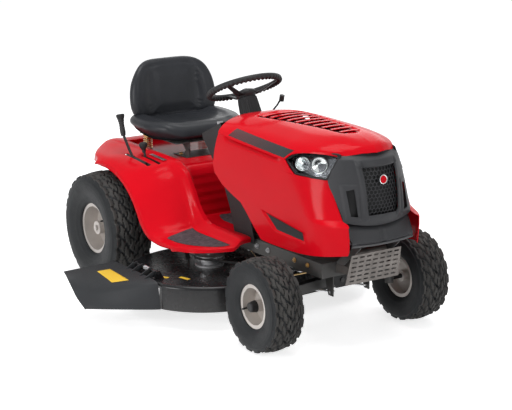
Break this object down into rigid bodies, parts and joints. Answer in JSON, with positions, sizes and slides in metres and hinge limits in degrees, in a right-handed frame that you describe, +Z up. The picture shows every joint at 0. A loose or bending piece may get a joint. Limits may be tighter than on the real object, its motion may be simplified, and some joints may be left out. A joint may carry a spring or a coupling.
{
  "type": "riding lawn mower",
  "caption": "Ride-on garden mower: hooded engine, seat on a fender tub, twin-blade deck with side chute, steering and deck lift.",
  "frame": {"origin": "on the ground, under the middle of the machine's bounding box", "axes": "+X forward, +Y to the driver's left, +Z up"},
  "size_m": [1.7659, 1.356, 1.0035],
  "materials": {
    "frame_black": "satin",
    "body_red": "gloss",
    "trim_charcoal": "matte",
    "dash_grey": "matte",
    "grip_black": "matte",
    "mat_grit": "matte",
    "tyre_rubber": "matte",
    "rim_beige": "satin",
    "cap_black": "matte",
    "deck_black": "gloss",
    "chute_plastic": "matte",
    "blade_steel": "satin",
    "cast_metal": "matte",
    "shroud_black": "matte",
    "shield_steel": "matte",
    "gold_zinc": "satin",
    "silver_zinc": "satin",
    "belt_rubber": "matte",
    "tank_plastic": "matte",
    "battery_case": "matte",
    "seat_vinyl": "satin",
    "lens_clear": "gloss"
  },
  "bodies": {
    "chassis": {"frame": "frame_black", "axle_hanger": "frame_black", "fender_body": "body_red", "tread_mats": "mat_grit", "dash_panel": "dash_grey", "column_cover": "trim_charcoal", "steering_box": "frame_black", "engine_block": "cast_metal", "blower_housing": "shroud_black", "muffler": "shield_steel", "heat_shield": "shield_steel", "fuel_tank": "tank_plastic", "battery": "battery_case", "transaxle": "cast_metal", "seat_bracket": "frame_black", "drive_belt": "belt_rubber"},
    "hood": {"hood_shell": "body_red", "grille": "trim_charcoal", "bumper": "trim_charcoal", "headlights": "lens_clear"},
    "steering_column": {"steering_wheel": "grip_black", "steering_shaft": "silver_zinc"},
    "pinion": {"steering_pinion": "silver_zinc"},
    "sector": {"sector_gear": "silver_zinc"},
    "drag_link_body": {"drag_link": "gold_zinc"},
    "tie_rod_body": {"tie_rod": "gold_zinc"},
    "axle": {"front_axle": "frame_black"},
    "knuckle_right_body": {"knuckle_right": "frame_black"},
    "knuckle_left_body": {"knuckle_left": "frame_black"},
    "front_wheel_right": {"front_rim_right": "rim_beige", "front_tyre_right": "tyre_rubber", "front_cap_right": "cap_black"},
    "front_wheel_left": {"front_rim_left": "rim_beige", "front_tyre_left": "tyre_rubber", "front_cap_left": "cap_black"},
    "rear_wheel_right": {"rear_rim_right": "rim_beige", "rear_tyre_right": "tyre_rubber"},
    "rear_wheel_left": {"rear_rim_left": "rim_beige", "rear_tyre_left": "tyre_rubber"},
    "crank": {"crank_pulley": "silver_zinc"},
    "deck": {"deck_shell": "deck_black", "spindle_housings": "cast_metal", "deck_belt": "belt_rubber"},
    "rotor_right": {"blade_right": "blade_steel", "spindle_right": "silver_zinc"},
    "rotor_left": {"blade_left": "blade_steel", "spindle_left": "silver_zinc"},
    "chute": {"discharge_chute": "chute_plastic"},
    "lift_lever_body": {"lift_lever": "frame_black", "lift_grip": "grip_black"},
    "lift_links_body": {"lift_links": "silver_zinc"},
    "front_rod_body": {"front_lift_rod": "silver_zinc"},
    "seat_base": {"seat_pan": "frame_black", "seat_springs": "gold_zinc"},
    "seat_body": {"seat": "seat_vinyl"},
    "shift_lever_body": {"shift_lever": "grip_black"},
    "pto_lever_body": {"pto_lever": "grip_black"},
    "key": {"ignition_key": "silver_zinc"},
    "pedal": {"brake_pedal": "frame_black"},
    "cap": {"fuel_cap": "cap_black"}
  },
  "joints": [
    {"name": "hood_open", "type": "hinge", "parent": "chassis", "child": "hood", "pos_m": [0.846, 0.143, 0.44], "axis": [0, 1, 0], "range_deg": [0, 60]},
    {"name": "steering_turn", "type": "hinge", "parent": "chassis", "child": "steering_column", "pos_m": [-0.099, 0.143, 0.925], "axis": [-0.4226, 0, 0.9063], "range_deg": [-180, 180]},
    {"name": "pinion_turn", "type": "hinge", "parent": "chassis", "child": "pinion", "pos_m": [0.171, 0.143, 0.3], "axis": [0, 0, 1], "range_deg": [-181, 181]},
    {"name": "sector_turn", "type": "hinge", "parent": "chassis", "child": "sector", "pos_m": [0.19999, 0.03482, 0.284], "axis": [0, 0, 1], "range_deg": [-30.5, 30.5]},
    {"name": "axle_rock", "type": "hinge", "parent": "chassis", "child": "axle", "pos_m": [0.586, 0.143, 0.235], "axis": [1, 0, 0], "range_deg": [-4, 4]},
    {"name": "knuckle_right_turn", "type": "hinge", "parent": "axle", "child": "knuckle_right_body", "pos_m": [0.586, -0.119, 0.22], "axis": [0, 0, 1], "range_deg": [-30.5, 30.5]},
    {"name": "knuckle_left_turn", "type": "hinge", "parent": "axle", "child": "knuckle_left_body", "pos_m": [0.586, 0.405, 0.22], "axis": [0, 0, 1], "range_deg": [-30.5, 30.5]},
    {"name": "tie_rod_turn", "type": "hinge", "parent": "knuckle_right_body", "child": "tie_rod_body", "pos_m": [0.476, -0.119, 0.248], "axis": [0, 0, 1], "range_deg": [-30.5, 30.5]},
    {"name": "drag_link_turn", "type": "hinge", "parent": "knuckle_right_body", "child": "drag_link_body", "pos_m": [0.476, -0.119, 0.269], "axis": [0, 0, 1], "range_deg": [-30.5, 30.5]},
    {"name": "front_wheel_right_spin", "type": "hinge", "parent": "knuckle_right_body", "child": "front_wheel_right", "pos_m": [0.586, -0.222, 0.1905], "axis": [0, 1, 0], "continuous": true},
    {"name": "front_wheel_left_spin", "type": "hinge", "parent": "knuckle_left_body", "child": "front_wheel_left", "pos_m": [0.586, 0.508, 0.1905], "axis": [0, 1, 0], "continuous": true},
    {"name": "rear_wheel_right_spin", "type": "hinge", "parent": "chassis", "child": "rear_wheel_right", "pos_m": [-0.629, -0.257, 0.254], "axis": [0, 1, 0], "continuous": true},
    {"name": "rear_wheel_left_spin", "type": "hinge", "parent": "chassis", "child": "rear_wheel_left", "pos_m": [-0.629, 0.543, 0.254], "axis": [0, 1, 0], "continuous": true},
    {"name": "crank_spin", "type": "hinge", "parent": "chassis", "child": "crank", "pos_m": [0.371, 0.143, 0.3], "axis": [0, 0, 1], "continuous": true},
    {"name": "lift_lever_turn", "type": "hinge", "parent": "chassis", "child": "lift_lever_body", "pos_m": [-0.329, 0.143, 0.4], "axis": [0, 1, 0], "range_deg": [-4, 27]},
    {"name": "deck_lift", "type": "slide", "parent": "chassis", "child": "deck", "axis": [0, 0, 1], "range_m": [-0.0515, 0.0078], "deforming": ["deck_belt"]},
    {"name": "lift_links_turn", "type": "hinge", "parent": "lift_lever_body", "child": "lift_links_body", "pos_m": [-0.22121, 0.143, 0.42193], "axis": [0, 1, 0], "range_deg": [-27.5, 4.5]},
    {"name": "front_rod_turn", "type": "hinge", "parent": "chassis", "child": "front_rod_body", "pos_m": [0.657, 0.143, 0.211], "axis": [0, 1, 0], "range_deg": [-9.4, 1.6]},
    {"name": "rotor_right_spin", "type": "hinge", "parent": "deck", "child": "rotor_right", "pos_m": [-0.009, -0.102, 0.104], "axis": [0, 0, 1], "continuous": true},
    {"name": "rotor_left_spin", "type": "hinge", "parent": "deck", "child": "rotor_left", "pos_m": [-0.009, 0.388, 0.104], "axis": [0, 0, 1], "continuous": true},
    {"name": "chute_swing", "type": "hinge", "parent": "deck", "child": "chute", "pos_m": [-0.029, -0.392, 0.218], "axis": [-1, 0, 0], "range_deg": [0, 70]},
    {"name": "seat_tilt", "type": "hinge", "parent": "chassis", "child": "seat_base", "pos_m": [-0.414, 0.143, 0.6], "axis": [0, 1, 0], "range_deg": [0, 48]},
    {"name": "seat_slide", "type": "slide", "parent": "seat_base", "child": "seat_body", "axis": [1, 0, 0], "range_m": [-0.045, 0.045]},
    {"name": "shift_lever_turn", "type": "hinge", "parent": "chassis", "child": "shift_lever_body", "pos_m": [-0.414, -0.147, 0.44], "axis": [0, 1, 0], "range_deg": [0, 38]},
    {"name": "pto_lever_turn", "type": "hinge", "parent": "chassis", "child": "pto_lever_body", "pos_m": [-0.03954, 0.263, 0.79748], "axis": [0, 1, 0], "range_deg": [-25, 20]},
    {"name": "key_turn", "type": "hinge", "parent": "chassis", "child": "key", "pos_m": [-0.10371, 0.028, 0.75763], "axis": [-0.4226, 0, 0.9063], "range_deg": [0, 90]},
    {"name": "pedal_press", "type": "hinge", "parent": "chassis", "child": "pedal", "pos_m": [0.271, 0.329, 0.32], "axis": [0, 1, 0], "range_deg": [0, 18], "stiffness_Nm_per_rad": 40, "springref_deg": -14.32},
    {"name": "cap_turn", "type": "hinge", "parent": "chassis", "child": "cap", "pos_m": [0.156, 0.143, 0.715], "axis": [0, 0, 1], "range_deg": [0, 90]}
  ],
  "couplings": [
    {"joint": "pinion_turn", "follows": "steering_turn", "ratio": -1},
    {"joint": "sector_turn", "follows": "steering_turn", "ratio": 0.16667},
    {"joint": "knuckle_right_turn", "follows": "steering_turn", "ratio": 0.16667},
    {"joint": "knuckle_left_turn", "follows": "steering_turn", "ratio": 0.16667},
    {"joint": "tie_rod_turn", "follows": "steering_turn", "ratio": -0.16667},
    {"joint": "drag_link_turn", "follows": "steering_turn", "ratio": -0.16667},
    {"joint": "deck_lift", "follows": "lift_lever_turn", "m_per_rad": -0.1084},
    {"joint": "lift_links_turn", "follows": "lift_lever_turn", "ratio": -1},
    {"joint": "front_rod_turn", "follows": "lift_lever_turn", "ratio": -0.339},
    {"joint": "rotor_right_spin", "follows": "crank_spin", "ratio": 0.91228},
    {"joint": "rotor_left_spin", "follows": "crank_spin", "ratio": 0.91228}
  ]
}
